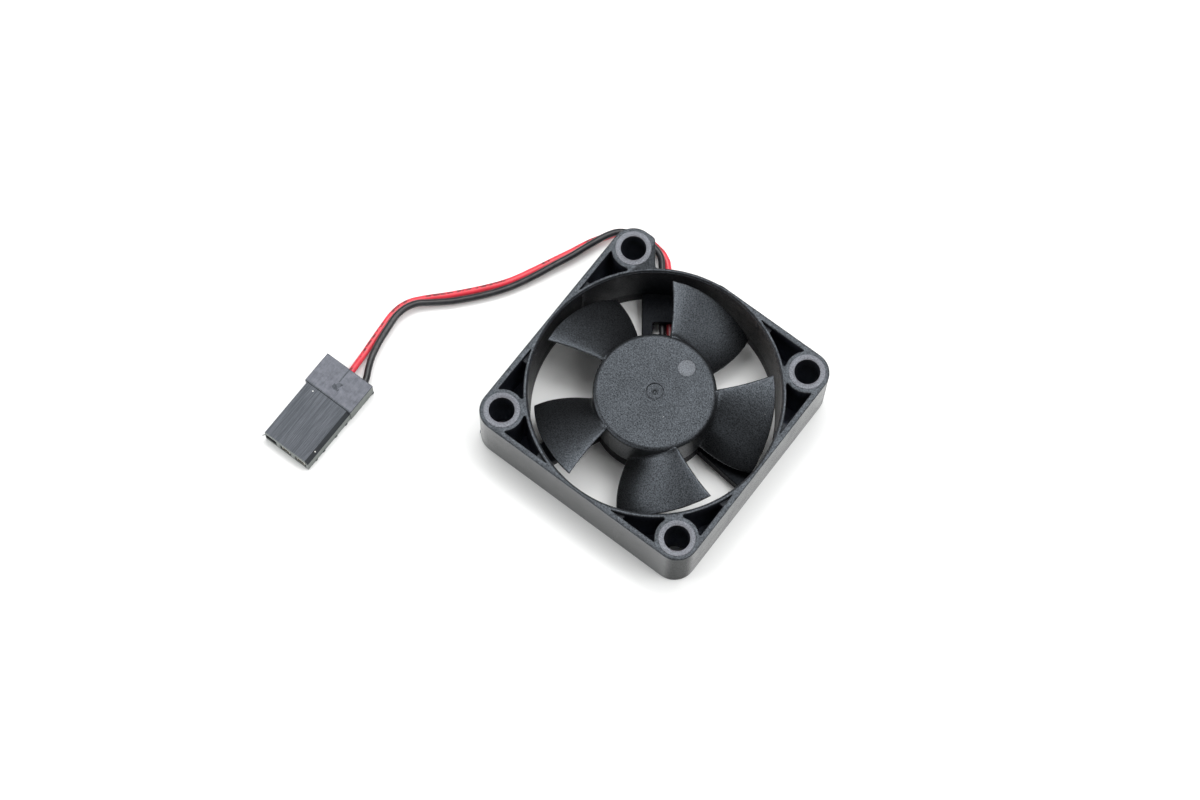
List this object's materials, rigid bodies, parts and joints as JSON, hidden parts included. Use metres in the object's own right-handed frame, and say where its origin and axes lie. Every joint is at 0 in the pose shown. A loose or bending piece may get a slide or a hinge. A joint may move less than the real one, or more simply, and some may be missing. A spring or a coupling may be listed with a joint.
{
  "type": "axial cooling fan",
  "caption": "Square axial cooling fan with a bladed hub turning in a round duct, corner mounting holes, and a two-wire lead to a flat plug.",
  "frame": {"origin": "centre of the square frame's bottom face, on the impeller's axis", "axes": "+Z along the impeller's axis from the motor base towards the intake side, +X and +Y square to the frame's side walls; the leads leave at the corner on the -X +Y diagonal"},
  "size_m": [0.0573, 0.0547, 0.01],
  "materials": {
    "frame_black": "fine moulded texture, slightly satin on the walls",
    "impeller_black": "fine moulded texture, matte",
    "insulation_red": "soft gloss",
    "insulation_black": "soft gloss",
    "plug_black": "satin with lengthwise scuffs",
    "tinned_metal": "bright tin plating",
    "brass": "drawn",
    "sintered_bronze": "oily, fine-grained",
    "steel": "ground and bright",
    "silicon_steel": "stamped, dark coated",
    "magnet": "matte bonded ferrite",
    "nylon": "satin, off-white",
    "copper_enamel": "enamelled wire winding",
    "board_green": "solder mask, satin",
    "chip_black": "moulded, matte",
    "ceramic_tan": "fired ceramic",
    "label_silver": "plain metallic film, no print",
    "solder": "dull bright"
  },
  "bodies": {
    "stator": {"fan_frame": "frame_black", "rating_label": "label_silver", "bearing_tube": "brass", "sleeve_bearing": "sintered_bronze", "thrust_pad": "nylon", "oil_seal_ring": "nylon", "stator_lamination_1": "silicon_steel", "stator_lamination_2": "silicon_steel", "stator_lamination_3": "silicon_steel", "stator_lamination_4": "silicon_steel", "bobbin_upper": "nylon", "bobbin_lower": "nylon", "coil_1": "copper_enamel", "coil_2": "copper_enamel", "coil_3": "copper_enamel", "coil_4": "copper_enamel", "circuit_board": "board_green", "hall_driver": "chip_black", "chip_capacitor": "ceramic_tan", "chip_diode": "chip_black", "solder_joint_black": "solder", "solder_joint_red": "solder", "black_lead": "insulation_black", "red_lead": "insulation_red", "plug_housing": "plug_black", "terminal_red": "tinned_metal", "terminal_black": "tinned_metal"},
    "rotor": {"impeller": "impeller_black", "rotor_yoke": "steel", "ring_magnet": "magnet", "shaft": "steel", "retaining_washer": "nylon"}
  },
  "joints": [
    {"name": "rotor_spin", "type": "hinge", "parent": "stator", "child": "rotor", "pos_m": [0, 0, 0], "axis": [0, 0, 1], "continuous": true}
  ]
}
